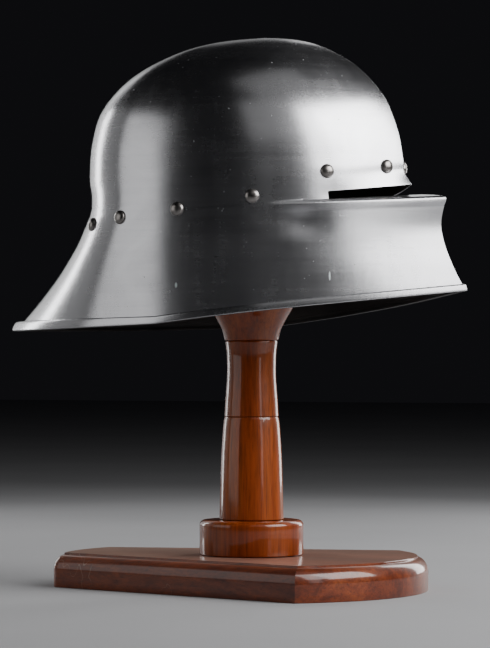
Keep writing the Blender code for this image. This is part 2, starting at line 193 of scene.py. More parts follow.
# Outlines of the helmet's plate, from the crown down to the rim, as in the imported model:
# reaches and widths as shares of the sizes above, heights as shares of the helmet's height
# above the tail's rim, and the keel's angles in degrees
LEVEL_COLUMNS = (
    "front", "push", "fade", "back", "half", "middle", "up_front", "up_side", "up_back",
    "climb", "keel_front", "keel_back", "full_back",
)
SKULL_LEVELS = (
    (0.064, 0.000, 0.40, -0.053, 0.000, 0.064, 1.000, 1.000, 1.000, 1.6, 20.0, 12.0, 0.55),
    (0.212, 0.000, 0.40, 0.107, 0.275, -0.050, 0.988, 0.977, 0.983, 1.6, 22.0, 12.0, 0.55),
    (0.350, 0.000, 0.40, 0.263, 0.500, -0.155, 0.956, 0.935, 0.939, 1.6, 24.0, 11.0, 0.55),
    (0.498, 0.000, 0.40, 0.450, 0.734, -0.159, 0.889, 0.864, 0.860, 1.6, 24.0, 10.0, 0.55),
    (0.620, 0.000, 0.40, 0.569, 0.887, -0.159, 0.787, 0.760, 0.752, 1.6, 24.0, 9.0, 0.55),
    (0.684, 0.000, 0.40, 0.608, 0.951, -0.159, 0.676, 0.643, 0.635, 1.6, 23.0, 8.0, 0.55),
    (0.711, 0.000, 0.40, 0.616, 0.968, -0.159, 0.572, 0.526, 0.518, 1.6, 23.0, 8.0, 0.55),
    (0.716, 0.000, 0.40, 0.606, 0.973, -0.159, 0.526, 0.468, 0.463, 2.0, 23.0, 8.0, 0.55),
    (0.716, 0.036, 0.40, 0.608, 0.974, -0.159, 0.487, 0.424, 0.418, 2.2, 23.0, 9.0, 0.55),
)
LEDGE_LEVELS = (
    (0.716, 0.085, 0.47, 0.620, 0.975, -0.159, 0.452, 0.394, 0.390, 1.3, 23.0, 10.0, 0.55),
    (0.716, 0.184, 0.47, 0.632, 0.976, -0.159, 0.443, 0.382, 0.375, 1.1, 23.0, 11.0, 0.55),
    (0.716, 0.180, 0.47, 0.646, 0.977, -0.159, 0.411, 0.361, 0.355, 1.1, 23.0, 12.0, 0.55),
)
FACE_LEVELS = (
    (0.716, 0.180, 0.47, 0.646, 0.977, -0.159, 0.411, 0.361, 0.355, 1.1, 23.0, 12.0, 0.55),
    (0.721, 0.162, 0.48, 0.691, 0.981, -0.159, 0.349, 0.296, 0.292, 1.0, 23.0, 15.0, 0.55),
    (0.726, 0.175, 0.50, 0.778, 0.981, -0.159, 0.280, 0.209, 0.200, 1.0, 23.0, 20.0, 0.51),
    (0.737, 0.207, 0.54, 0.887, 0.983, -0.159, 0.200, 0.109, 0.096, 1.0, 23.0, 28.0, 0.47),
    (0.745, 0.233, 0.58, 0.949, 0.985, -0.159, 0.152, 0.045, 0.036, 1.0, 23.0, 33.0, 0.45),
)
BAND_LEVELS = (
    (0.745, 0.233, 0.58, 0.949, 0.985, -0.159, 0.152, 0.045, 0.036, 1.0, 23.0, 33.0, 0.45),
    (0.764, 0.236, 0.60, 1.000, 1.000, -0.159, 0.131, 0.022, 0.005, 1.0, 23.0, 33.0, 0.43),
)

# Section of the rolled rim: share of the way out, share of the way down
RIM_SECTION = (
    (0.30, 0.01), (0.50, 0.03), (0.66, 0.09), (0.77, 0.22), (0.85, 0.42), (0.92, 0.63),
    (0.98, 0.83), (1.00, 0.95), (0.99, 1.03), (0.94, 1.10), (0.80, 1.15),
)

# Strips of the rim that are turned under and left unpolished, counted from its end; they take the
# inner face's near-black colour, which is painted shade
UNDER_ROWS = 3

# Rivets of the wearer's right side: the table and its row, the quarter, and the share of the
# way from the middle line to the side
RIVET_COLUMNS = ("name", "group", "row", "quarter", "turn")
RIVETS = (
    ("brow", "skull", 6.42, "front", 0.098),
    ("temple", "skull", 6.56, "front", 0.385),
    ("cheek", "skull", 7.90, "front", 0.677),
    ("ear", "ledge", 0.00, "front", 0.932),
    ("nape", "ledge", 1.20, "back", 0.795),
    ("back", "ledge", 1.90, "back", 0.530),
)

# Turned sections: radius as a share of the column's foot, and the share of the way down from
# the section's top, or up from the flare's foot
COLUMN_COLUMNS = ("radius", "down")
LOWER_COLUMN = (
    (0.830, 0.000), (0.848, 0.014), (0.879, 0.090), (0.915, 0.247),
    (0.943, 0.403), (0.960, 0.559), (0.975, 0.717), (1.000, 1.000),
)
MIDDLE_COLUMN = (
    (0.795, 0.000), (0.812, 0.020), (0.793, 0.078), (0.768, 0.182),
    (0.760, 0.287), (0.758, 0.388), (0.763, 0.494), (0.780, 0.599),
    (0.797, 0.705), (0.817, 0.809), (0.829, 0.916), (0.840, 1.000),
)
FLARE_COLUMNS = ("radius", "up")
HEAD_FLARE = (
    (1.420, 1.000), (1.280, 0.722), (1.120, 0.528),
    (1.020, 0.389), (0.930, 0.256), (0.870, 0.111), (0.842, 0.000),
)

# Two bright nicks in the plate: outlines, row, quarter, share, half width and half height
NICKS = (
    (FACE_LEVELS, 2.86, "front", 0.403, 0.0007, 0.0046),
    (FACE_LEVELS, 2.68, "front", 0.935, 0.0011, 0.0022),
)

# Colours of the wood's grain, from dark to light
TURNED_TONES = (
    (0.20, 0.028, 0.002), (0.28, 0.048, 0.004), (0.36, 0.076, 0.006), (0.43, 0.108, 0.010),
)
# The base plate's tones are darker than the turned wood's: partly its own grain, partly painted
# shade for its shaded near side
BOARD_GRAIN_AND_SHADE_TONES = (
    (0.08, 0.010, 0.002), (0.15, 0.024, 0.004), (0.22, 0.040, 0.007), (0.30, 0.066, 0.013),
)

# Lights: turn to the right of the camera, distance, height, width, height of the box,
# radiance, and how far below its own height it aims
LIGHTS = (
    ("key_right", 69.0, 1.40, 1.02, 1.02, 1.04, 9.5, 0.40),
    ("key_edge", 42.6, 1.40, 1.04, 0.36, 0.96, 5.5, 0.40),
    ("key_low", 40.6, 1.40, 0.33, 0.20, 0.46, 1.6, 0.0),
    ("key_spread", 34.0, 1.70, 1.68, 2.60, 1.64, 0.27, 0.60),
    ("fill_left", -72.0, 1.40, 0.57, 1.16, 1.00, 0.95, 0.0),
    ("side_left", -112.0, 1.50, 0.62, 0.60, 1.10, 0.22, 0.0),
    ("strip_left", -134.0, 1.40, 0.46, 0.22, 0.86, 7.0, 0.0),
    ("back_left", -151.0, 1.40, 0.62, 0.45, 1.14, 0.75, 0.0),
    ("back_right", 140.0, 1.40, 0.62, 0.45, 1.14, 6.0, 0.0),
    ("back_high", 163.0, 1.50, 1.02, 0.62, 0.52, 1.3, 0.70),
    ("back_wide", -170.0, 1.50, 1.02, 1.00, 0.52, 0.32, 0.70),
    ("overhead", 40.0, 0.90, 3.00, 1.60, 1.20, 0.24, 2.60),
)


def row_at(levels, step):
    """Outline between two table rows, on a smooth curve through the rows around it."""
    low = min(int(step), len(levels) - 2)
    share = step - low
    before = levels[max(low - 1, 0)]
    start = levels[low]
    end = levels[low + 1]
    after = levels[min(low + 2, len(levels) - 1)]
    values = []
    for p0, p1, p2, p3 in zip(before, start, end, after):
        slope = p2 - p0
        bend = 2.0 * p0 - 5.0 * p1 + 4.0 * p2 - p3
        twist = 3.0 * p1 - p0 - 3.0 * p2 + p3
        values.append(p1 + 0.5 * (slope * share + bend * share ** 2 + twist * share ** 3))
    return dict(zip(LEVEL_COLUMNS, values))


def mix_rows(upper, lower, share):
    """Outline at a share of the way from one to another."""
    return {name: upper[name] + (lower[name] - upper[name]) * share for name in upper}


def curve(share, tip, tip_handle, side_handle, side):
    """Value on a cubic curve from the tip (0) to the side (1), with a handle at each end."""
    rest = 1.0 - share
    return (
        rest ** 3 * tip
        + 3.0 * share * rest ** 2 * tip_handle
        + 3.0 * share ** 2 * rest * side_handle
        + share ** 3 * side
    )


def plate_point(row, quarter, share):
    """Point of an outline on the wearer's right side, from the middle line (0) to the side (1)."""
    half = row["half"] * HALF_WIDTH
    middle = row["middle"] * FACE_REACH
    up_side = row["up_side"]
    if quarter == "front":
        tip = row["front"] * FACE_REACH
        keel = math.radians(row["keel_front"])
        side_handle = middle + SIDE_FULLNESS_SHARE * (tip - middle)
        handle = TIP_FULLNESS_SHARE * half
        along = curve(share, tip, tip - handle * math.sin(keel), side_handle, middle)
        push = row["push"] * FACE_REACH
        along += push * max(1.0 - share / row["fade"], 0.0) ** 2
        ahead = (along - middle) / max(tip + push - middle, SMALLEST_REACH)
        up = up_side + (row["up_front"] - up_side) * max(ahead, 0.0) ** row["climb"]
    else:
        tip = -row["back"] * TAIL_REACH
        keel = math.radians(row["keel_back"])
        side_handle = middle + row["full_back"] * (tip - middle)
        handle = TIP_FULLNESS_SHARE * half
        along = curve(share, tip, tip + handle * math.sin(keel), side_handle, middle)
        behind = (along - middle) / min(tip - middle, -SMALLEST_REACH)
        round_share = min(max((up_side - ROUND_FROM) / (ROUND_FULL - ROUND_FROM), 0.0), 1.0)
        fall = (1.0 - behind) ** 2
        fall += round_share * ((1.0 - behind ** 2) ** 2 - fall)
        up = row["up_back"] + (up_side - row["up_back"]) * fall
    across = curve(share, 0.0, handle * math.cos(keel), half, half)
    return Vector((-across, -along, TAIL_RIM_HEIGHT + up * HELMET_HEIGHT))


def bulged(point, quarter, share, strength):
    """The point, moved out where the side of the face plate bulges a little."""
    if quarter == "front" and share < BULGE_END_SHARE:
        rise = strength * BULGE_RISE * math.sin(math.pi * share / BULGE_END_SHARE)
        point.x -= rise * BULGE_ACROSS
        point.y -= rise * BULGE_AHEAD
    return point


def dented(point):
    """The point, moved in toward the middle plane where the shallow hollow lies."""
    reach = math.hypot(
        (-point.y - DENT_ALONG) / DENT_HALF_LENGTH,
        (point.z - DENT_HEIGHT) / DENT_HALF_HEIGHT,
    )
    point.x += DENT_DEPTH * math.exp(-reach ** 2)
    return point


def ring_places():
    """Quarter and share of every column, and the number of the column at the sight's end."""
    places = [("front", share) for share in KEEL_SHARES]
    start = KEEL_SHARES[-1]
    for step in range(1, SIGHT_STEPS + 1):
        places.append(("front", start + (SIGHT_SHARE - start) * step / SIGHT_STEPS))
    sight_column = len(places) - 1
    for step in range(1, CHEEK_STEPS + 1):
        places.append(("front", SIGHT_SHARE + (1.0 - SIGHT_SHARE) * step / CHEEK_STEPS))
    for step in range(1, BACK_STEPS + 1):
        places.append(("back", 1.0 - (1.0 - BACK_KEEL_END) * step / BACK_STEPS))
    places += [("back", share) for share in BACK_KEEL_SHARES]
    return places, sight_column


def plate_rows():
    """Outlines from the crown to the rolled edge, and the number of the row above the sight."""
    brow = len(SKULL_LEVELS) - 2
    rows = [row_at(SKULL_LEVELS, step) for step in CROWN_STEPS]
    for step in range((brow - 1) * SKULL_PARTS + 1):
        rows.append(row_at(SKULL_LEVELS, 1.0 + step / SKULL_PARTS))
    for step in range(1, LIP_PARTS + 1):
        rows.append(row_at(SKULL_LEVELS, brow + step / LIP_PARTS))
    lip = len(rows) - 1
    inner = row_at(LEDGE_LEVELS, 0.0)
    rows += [mix_rows(rows[lip], inner, share) for share in SIGHT_SHARES]
    for levels, parts in ((LEDGE_LEVELS, LEDGE_PARTS), (FACE_LEVELS, FACE_PARTS)):
        for step in range(1, (len(levels) - 1) * parts + 1):
            rows.append(row_at(levels, step / parts))
    wall = row_at(BAND_LEVELS, 0.0)
    edge = row_at(BAND_LEVELS, 1.0)
    for out, down in RIM_SECTION:
        row = mix_rows(wall, edge, out)
        for name in ("up_front", "up_side", "up_back"):
            row[name] = wall[name] + (edge[name] - wall[name]) * down
        rows.append(row)
    for move in RIM_TURN_STEPS:
        row = dict(rows[-1])
        row["front"] -= RIM_TURN_IN * RIM_TURN_ALONG * move / FACE_REACH
        row["back"] -= RIM_TURN_IN * RIM_TURN_ALONG * move / TAIL_REACH
        row["half"] -= RIM_TURN_IN * RIM_TURN_ACROSS * move / HALF_WIDTH
        rows.append(row)
    return rows, lip


def new_object(name, mesh):
    item = bpy.data.objects.new(name, mesh)
    bpy.context.scene.collection.objects.link(item)
    return item


def apply_modifiers(item):
    """Turns a piece's modifiers into plain mesh."""
    for other in bpy.context.selected_objects:
        other.select_set(False)
    bpy.context.view_layer.objects.active = item
    item.select_set(True)
    for modifier in list(item.modifiers):
        bpy.ops.object.modifier_apply(modifier=modifier.name)
    item.select_set(False)


def dress(item, node, material, sharp):
    """Shades a piece, with edges sharper than so many degrees left hard, and registers it."""
    if material is not None:
        item.data.materials.append(material)
    item.data.shade_smooth()
    item.data.set_sharp_from_angle(angle=math.radians(sharp))
    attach(item, "root")
    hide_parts(node)


def build_plate(material, inner_material):
    """The helmet's plate: half a sheet with the sight left open, mirrored and thickened."""
    rows, lip = plate_rows()
    places, sight_column = ring_places()
    ledge = lip + len(SIGHT_SHARES)
    sheet = bmesh.new()
    crown = sheet.verts.new(plate_point(row_at(SKULL_LEVELS, 0.0), "front", 0.0))
    grid = []
    for number, row in enumerate(rows):
        strength = min(max((number - ledge) / BULGE_ROWS, 0.0), 1.0)
        points = [
            dented(bulged(plate_point(row, quarter, share), quarter, share, strength))
            for quarter, share in places
        ]
        points[0].x = 0.0
        points[-1].x = 0.0
        grid.append([sheet.verts.new(point) for point in points])
    for front, back in zip(grid[0][:-1], grid[0][1:]):
        sheet.faces.new((crown, back, front))
    for number, (upper, lower) in enumerate(zip(grid[:-1], grid[1:])):
        for column in range(len(places) - 1):
            if lip <= number < ledge and column < sight_column:
                continue
            face = sheet.faces.new(
                (upper[column], upper[column + 1], lower[column + 1], lower[column])
            )
            # The turned-under strips take the inner face's material, painted near-black as shade
            face.material_index = 1 if number >= len(rows) - 1 - UNDER_ROWS else 0
    loose = [vert for vert in sheet.verts if not vert.link_faces]
    bmesh.ops.delete(sheet, geom=loose, context="VERTS")
    mesh = bpy.data.meshes.new("helmet_plate")
    sheet.to_mesh(mesh)
    sheet.free()
    plate = new_object("helmet_plate", mesh)
    mirror = plate.modifiers.new("other_side", "MIRROR")
    mirror.use_clip = True
    mirror.merge_threshold = MERGE_REACH
    wall = plate.modifiers.new("wall", "SOLIDIFY")
    wall.thickness = PLATE_THICKNESS
    wall.offset = -1.0
    wall.use_even_offset = True
    # The inner face takes the second material, painted near-black as shade
    wall.material_offset = 1
    wall.material_offset_rim = 0
    mesh.materials.append(material)
    mesh.materials.append(inner_material)
    apply_modifiers(plate)
    dress(plate, "helmet_shell", None, sharp=48.0)


def rivet_frame(rivet, side):
    """Place of a rivet on the plate, with +Z straight out of it."""
    levels = SKULL_LEVELS if rivet["group"] == "skull" else LEDGE_LEVELS
    row = row_at(levels, rivet["row"])
    quarter = rivet["quarter"]
    point = plate_point(row, quarter, rivet["turn"])
    beside = plate_point(row, quarter, rivet["turn"] + PROBE_SHARE)
    nearby = rivet["row"] + (-PROBE_ROW if rivet["row"] > PROBE_ROW else PROBE_ROW)
    off_row = plate_point(row_at(levels, nearby), quarter, rivet["turn"])
    outward = (beside - point).cross(off_row - point).normalized()
    if outward.x > 0.0:
        outward.negate()
    if side == "left":
        point.x = -point.x
        outward.x = -outward.x
    turn = outward.to_track_quat("Z", "Y").to_matrix().to_4x4()
    return Matrix.Translation(point) @ turn


def lathe(name, profile, steps):
    """Solid of revolution from a profile that runs from the top of the axis to its foot."""
    solid = bmesh.new()
    rings = []
    for radius, height in profile:
        if radius < SMALLEST_RADIUS:
            rings.append([solid.verts.new((0.0, 0.0, height))])
            continue
        rings.append([
            solid.verts.new((
                radius * math.cos(2.0 * math.pi * step / steps),
                radius * math.sin(2.0 * math.pi * step / steps),
                height,
            ))
            for step in range(steps)
        ])
    for upper, lower in zip(rings[:-1], rings[1:]):
        for step in range(steps):
            beside = (step + 1) % steps
            if len(upper) == 1:
                solid.faces.new((upper[0], lower[step], lower[beside]))
            elif len(lower) == 1:
                solid.faces.new((upper[step], lower[0], upper[beside]))
            else:
                solid.faces.new((upper[step], lower[step], lower[beside], upper[beside]))
    mesh = bpy.data.meshes.new(name)
    solid.to_mesh(mesh)
    solid.free()
    return new_object(name, mesh)


def rivet_profile():
    """Section of a rivet: domed head, shank through the plate and flattened inner end."""
    profile = [(0.0, RIVET_HEAD_RISE)]
    for step in range(1, RIVET_DOME_STEPS + 1):
        angle = RIVET_DOME_END * step / RIVET_DOME_STEPS
        profile.append((
            RIVET_HEAD_RADIUS * math.sin(angle) ** RIVET_FULLNESS,
            RIVET_DOME_FOOT + (RIVET_HEAD_RISE - RIVET_DOME_FOOT) * math.cos(angle),
        ))
    profile += [
        (RIVET_HEAD_RADIUS, RIVET_EDGE),
        (RIVET_HEAD_RADIUS * RIVET_SINK_SHARE, -RIVET_SINK),
        (RIVET_SHANK_RADIUS, -RIVET_SINK),
        (RIVET_SHANK_RADIUS, -PLATE_THICKNESS - RIVET_END[0][1]),
    ]
    return profile + [(radius, -PLATE_THICKNESS - depth) for radius, depth in RIVET_END]


def build_rivets(material):
    """Each rivet of the table on the near side, and its mate on the far side."""
    for values in RIVETS:
        rivet = dict(zip(RIVET_COLUMNS, values))
        for side in ("right", "left"):
            name = "rivet_" + rivet["name"] + "_" + side
            item = lathe("dome_" + name, rivet_profile(), RIVET_STEPS)
            item.data.transform(rivet_frame(rivet, side))
            dress(item, name, material, sharp=50.0)


def smooth_profile(points):
    """Finer profile on a smooth curve through the given points."""
    fine = []
    for number in range(len(points) - 1):
        p0 = points[max(number - 1, 0)]
        p1 = points[number]
        p2 = points[number + 1]
        p3 = points[min(number + 2, len(points) - 1)]
        for part in range(PROFILE_PARTS):
            share = part / PROFILE_PARTS
            fine.append(tuple(
                0.5 * (
                    2.0 * b + (c - a) * share
                    + (2.0 * a - 5.0 * b + 4.0 * c - d) * share ** 2
                    + (3.0 * b - a - 3.0 * c + d) * share ** 3
                )
                for a, b, c, d in zip(p0, p1, p2, p3)
            ))
    fine.append(points[-1])
    return fine


def column_rows(table, top, foot):
    """Radius and height of a column section's table rows, between its top and its foot."""
    rows = []
    for values in table:
        row = dict(zip(COLUMN_COLUMNS, values))
        rows.append((row["radius"] * COLUMN_FOOT_RADIUS, top - row["down"] * (top - foot)))
    return rows


def column_piece(name, node, table, top, foot, material):
    """Turned section of the column; its ends are eased a little, so that each joint shows."""
    rows = column_rows(table, top, foot)
    foot_radius = rows[-1][0]
    profile = [(0.0, top), rows[0]]
    profile += smooth_profile(rows[1:-1] + [(foot_radius, foot + JOINT_EASE)])
    profile += [(foot_radius - JOINT_EASE, foot), (0.0, foot)]
    item = lathe(name, profile, COLUMN_STEPS)
    dress(item, node, material, sharp=40.0)


def build_collar(material):
    """Turned disc under the column, with a rounded upper edge."""
    foot = BASE_HEIGHT + GAP
    top = foot + COLLAR_HEIGHT
    profile = [(0.0, top)]
    for step in range(COLLAR_ROUND_STEPS + 1):
        angle = math.pi / 2.0 * step / COLLAR_ROUND_STEPS
        profile.append((
            COLLAR_RADIUS - COLLAR_ROUND * (1.0 - math.sin(angle)),
            top - COLLAR_ROUND * (1.0 - math.cos(angle)),
        ))
    ease = COLLAR_FOOT_EASE
    profile += [
        (COLLAR_RADIUS, foot + ease),
        (COLLAR_RADIUS - ease * FOOT_EASE_SHARE, foot + ease * FOOT_EASE_SHARE),
        (COLLAR_RADIUS - ease, foot),
        (0.0, foot),
    ]
    item = lathe("collar_disc", profile, COLLAR_STEPS)
    dress(item, "collar", material, sharp=50.0)


def build_column(material):
    """The column's two lower sections."""
    collar_top = BASE_HEIGHT + GAP + COLLAR_HEIGHT
    column_piece(
        "column_foot", "column_lower", LOWER_COLUMN,
        LOWER_JOINT_HEIGHT - GAP / 2.0, collar_top + GAP, material,
    )
    column_piece(
        "column_waist", "column_middle", MIDDLE_COLUMN,
        UPPER_JOINT_HEIGHT - GAP / 2.0, LOWER_JOINT_HEIGHT + GAP / 2.0, material,
    )


def build_head_form(material):
    """Flared top of the column, carried on as a plain domed head under the crown."""
    top = TAIL_RIM_HEIGHT + HELMET_HEIGHT - PLATE_THICKNESS - HEAD_TOP_DROP
    centre = top - HEAD_RADIUS
    foot = UPPER_JOINT_HEIGHT + GAP / 2.0
    profile = [(0.0, top)]
    for step in range(1, HEAD_DOME_STEPS + 1):
        angle = math.pi / 2.0 * step / HEAD_DOME_STEPS
        profile.append((HEAD_RADIUS * math.sin(angle), centre + HEAD_RADIUS * math.cos(angle)))
    profile.append((HEAD_NECK_RADIUS, centre - HEAD_RADIUS * HEAD_TAPER_SHARE))
    flare = []
    for values in HEAD_FLARE:
        row = dict(zip(FLARE_COLUMNS, values))
        flare.append((row["radius"] * COLUMN_FOOT_RADIUS, foot + row["up"] * HEAD_FLARE_HEIGHT))
    foot_radius = flare[-1][0]
    profile += smooth_profile(flare[:-1] + [(foot_radius, foot + JOINT_EASE)])
    profile += [(foot_radius - JOINT_EASE, foot), (0.0, foot)]
    item = lathe("head_form", profile, COLUMN_STEPS)
    dress(item, "head_post", material, sharp=40.0)


def bow_radius(half, bow):
    """Radius of the arc that rises by its bow over a chord of twice the half width."""
    return (half ** 2 + bow ** 2) / (2.0 * bow)


def reach_circle(normal, level, centre, radius, sign):
    """Where the line at a level along its normal meets a circle, behind (1) or ahead (-1)."""
    along = Vector((-normal.y, normal.x))
    start = normal * level - centre
    before = start.dot(along)
    reach = math.sqrt(before ** 2 - start.length_squared + radius ** 2)
    return normal * level + along * (sign * reach - before)


def arc(centre, radius, first, last, steps):
    """Points about a centre between two directions, measured from +X."""
    turn = (last - first) / steps
    return [
        (
            centre.x + radius * math.cos(first + turn * step),
            centre.y + radius * math.sin(first + turn * step),
        )
        for step in range(steps + 1)
    ]


def base_outline(inset):
    """Outline of the base plate moved in by inset: bowed front, straight sides, bowed back."""
    spread = BASE_FRONT_HALF - BASE_BACK_HALF
    depth = BASE_BACK_Y - BASE_FRONT_Y
    normal = Vector((depth, spread)).normalized()
    level = normal.dot(Vector((BASE_FRONT_HALF, BASE_FRONT_Y))) - inset
    front_radius = bow_radius(BASE_FRONT_HALF, BASE_FRONT_BOW)
    front_centre = Vector((0.0, BASE_FRONT_Y - BASE_FRONT_BOW + front_radius))
    back_radius = bow_radius(BASE_BACK_HALF, BASE_BACK_BOW)
    back_centre = Vector((0.0, BASE_BACK_Y + BASE_BACK_BOW - back_radius))
    front_corner = reach_circle(normal, level, front_centre, front_radius - inset, -1.0)
    from_corner = front_corner - front_centre
    bow_end = math.atan2(from_corner.y, from_corner.x)
    outline = arc(
        front_centre, front_radius - inset, -math.pi - bow_end, bow_end, BASE_FRONT_STEPS,
    )
    corner_radius = BASE_BACK_ROUND - inset
    corner_centre = reach_circle(
        normal, level - corner_radius, back_centre, back_radius - inset - corner_radius, 1.0,
    )
    side_angle = math.atan2(normal.y, normal.x)
    from_back = corner_centre - back_centre
    back_angle = math.atan2(from_back.y, from_back.x)
    right = arc(corner_centre, corner_radius, side_angle, back_angle, BASE_CORNER_STEPS)
    outline += right
    outline += arc(
        back_centre, back_radius - inset, back_angle, math.pi - back_angle, BASE_BACK_STEPS,
    )[1:-1]
    outline += [(-x, y) for x, y in reversed(right)]
    return outline


def base_edge():
    """Section of the base plate's edge: distance inward of its outline, and height."""
    section = list(BASE_FOOT_SECTION)
    for step in range(SHOULDER_STEPS + 1):
        angle = SHOULDER_END * step / SHOULDER_STEPS
        section.append((
            SHOULDER_DEPTH * (1.0 - math.cos(angle)),
            SHOULDER_FOOT + SHOULDER_RISE * math.sin(angle),
        ))
    for inward, below in BASE_TOP_SECTION:
        section.append((BASE_EDGE_INSET + inward, BASE_HEIGHT - below))
    return section


def build_base(material):
    """The base plate: its outline carried up the section of its edge."""
    solid = bmesh.new()
    rings = []
    for inset, height in base_edge():
        outline = base_outline(inset)
        rings.append([solid.verts.new((x, y, height)) for x, y in outline])
    solid.faces.new(list(reversed(rings[0])))
    solid.faces.new(rings[-1])
    for lower, upper in zip(rings[:-1], rings[1:]):
        for number in range(len(lower)):
            beside = (number + 1) % len(lower)
            solid.faces.new((lower[number], lower[beside], upper[beside], upper[number]))
    mesh = bpy.data.meshes.new("base_board")
    solid.to_mesh(mesh)
    solid.free()
    item = new_object("base_board", mesh)
    dress(item, "base_plate", material, sharp=28.0)


class Nodes:
    """Short hand for building a material's nodes."""

    def __init__(self, name):
        self.material = bpy.data.materials.new(name)
        self.material.use_nodes = True
        self.tree = self.material.node_tree
        self.shader = self.tree.nodes["Principled BSDF"]
        coordinates = self.tree.nodes.new("ShaderNodeTexCoord")
        self.place = coordinates.outputs["Object"]

    def link(self, source, target):
        self.tree.links.new(source, target)

    def scaled(self, scale):
        node = self.tree.nodes.new("ShaderNodeMapping")
        node.inputs["Scale"].default_value = scale
        self.link(self.place, node.inputs["Vector"])
        return node.outputs["Vector"]

    def noise(self, scale, detail=3.0, rough=0.55, distortion=0.0, stretch=(1.0, 1.0, 1.0)):
        node = self.tree.nodes.new("ShaderNodeTexNoise")
        node.inputs["Scale"].default_value = scale
        node.inputs["Detail"].default_value = detail
        node.inputs["Roughness"].default_value = rough
        node.inputs["Distortion"].default_value = distortion
        self.link(self.scaled(stretch), node.inputs["Vector"])
        return node.outputs["Fac"]

    def ramp(self, source, stops):
        node = self.tree.nodes.new("ShaderNodeValToRGB")
        ramp = node.color_ramp
        while len(ramp.elements) < len(stops):
            ramp.elements.new(0.5)
        for element, (place, colour) in zip(ramp.elements, stops):
            element.position = place
            if isinstance(colour, float):
                colour = (colour, colour, colour)
            element.color = (*colour, 1.0)
        self.link(source, node.inputs["Fac"])
        return node.outputs["Color"]

    def math(self, kind, first, second):
        node = self.tree.nodes.new("ShaderNodeMath")
        node.operation = kind
        for socket, value in zip(node.inputs, (first, second)):
            if isinstance(value, float):
                socket.default_value = value
            else:
                self.link(value, socket)
        return node.outputs["Value"]

    def mix(self, share, first, second, kind="MIX"):
        node = self.tree.nodes.new("ShaderNodeMix")
        node.data_type = "RGBA"
        node.blend_type = kind
        if isinstance(share, float):
            node.inputs["Factor"].default_value = share
        else:
            self.link(share, node.inputs["Factor"])
        for name, value in (("A", first), ("B", second)):
            socket = [
                entry for entry in node.inputs if entry.name == name and entry.type == "RGBA"
            ][0]
            if isinstance(value, tuple):
                socket.default_value = (*value, 1.0)
            else:
                self.link(value, socket)
        return [entry for entry in node.outputs if entry.type == "RGBA"][0]

    def spot(self, place, wide, tall):
        """One within a small upright ellipsoid about a place, fading to nought outside."""
        shift = self.tree.nodes.new("ShaderNodeMapping")
        shift.vector_type = "TEXTURE"
        shift.inputs["Location"].default_value = place
        shift.inputs["Scale"].default_value = (wide, wide, tall)
        self.link(self.place, shift.inputs["Vector"])
        length = self.tree.nodes.new("ShaderNodeVectorMath")
        length.operation = "LENGTH"
        self.link(shift.outputs["Vector"], length.inputs[0])
        return self.ramp(length.outputs["Value"], [(0.6, 0.7), (1.0, 0.0)])

    def bump(self, height, strength, distance, under=None):
        node = self.tree.nodes.new("ShaderNodeBump")
        node.inputs["Strength"].default_value = strength
        node.inputs["Distance"].default_value = distance
        self.link(height, node.inputs["Height"])
        if under is not None:
            self.link(under, node.inputs["Normal"])
        return node.outputs["Normal"]


def steel(name, tint, rough):
    """Satin-polished plate: level rubbing marks, faint clouds, small scratches and specks."""
    nodes = Nodes(name)
    shader = nodes.shader
    shader.inputs["Metallic"].default_value = 1.0
    shader.inputs["Anisotropic"].default_value = 0.45
    shader.inputs["Anisotropic Rotation"].default_value = 0.25
    tangent = nodes.tree.nodes.new("ShaderNodeTangent")
    tangent.direction_type = "RADIAL"
    tangent.axis = "Z"
    nodes.link(tangent.outputs["Tangent"], shader.inputs["Tangent"])
    rubbed = nodes.noise(8.0, 4.0, 0.6, 0.15, (1.0, 1.0, 40.0))
    fine = nodes.noise(30.0, 5.0, 0.7, 0.0, (1.0, 1.0, 45.0))
    strokes = nodes.noise(26.0, 4.0, 0.6, 0.3, (4.0, 4.0, 0.5))
    clouds = nodes.noise(17.0, 4.0, 0.6, 0.6)
    broad = nodes.noise(7.0, 2.0, 0.5)
    specks = nodes.ramp(nodes.noise(380.0, 2.0, 0.5), [(0.0, 0.0), (0.755, 0.0), (0.775, 1.0)])
    low = nodes.mix(nodes.ramp(clouds, [(0.3, 0.0), (0.7, 1.0)]), tint, tuple(
        value * 0.86 for value in tint
    ))
    lined = nodes.mix(nodes.ramp(rubbed, [(0.25, 0.0), (0.75, 0.20)]), low, (0.48, 0.48, 0.50))
    marked = nodes.mix(nodes.math("MULTIPLY", specks, 0.5), lined, (0.86, 0.88, 0.90))
    marks = []
    for group, row, quarter, share, wide, tall in NICKS:
        point = plate_point(row_at(group, row), quarter, share)
        place = dented(bulged(point, quarter, share, 1.0))
        marks.append(nodes.spot(place, wide, tall))
        marked = nodes.mix(marks[-1], marked, (0.80, 0.92, 0.92))
    nodes.link(marked, shader.inputs["Base Color"])
    gloss = nodes.math("ADD", nodes.math("MULTIPLY", clouds, 0.10), rough - 0.08)
    gloss = nodes.math("ADD", gloss, nodes.math("MULTIPLY", rubbed, 0.07))
    gloss = nodes.math("ADD", gloss, nodes.math("MULTIPLY", strokes, 0.07))
    gloss = nodes.math("ADD", gloss, nodes.math("MULTIPLY", specks, 0.40))
    for mark in marks:
        gloss = nodes.math("ADD", gloss, nodes.math("MULTIPLY", mark, 0.60))
    nodes.link(gloss, shader.inputs["Roughness"])
    normal = nodes.bump(broad, 0.12, 0.004)
    normal = nodes.bump(strokes, 0.06, 0.0006, normal)
    normal = nodes.bump(rubbed, 0.03, 0.0005, normal)
    normal = nodes.bump(fine, 0.04, 0.0002, normal)
    nodes.link(normal, shader.inputs["Normal"])
    return nodes.material


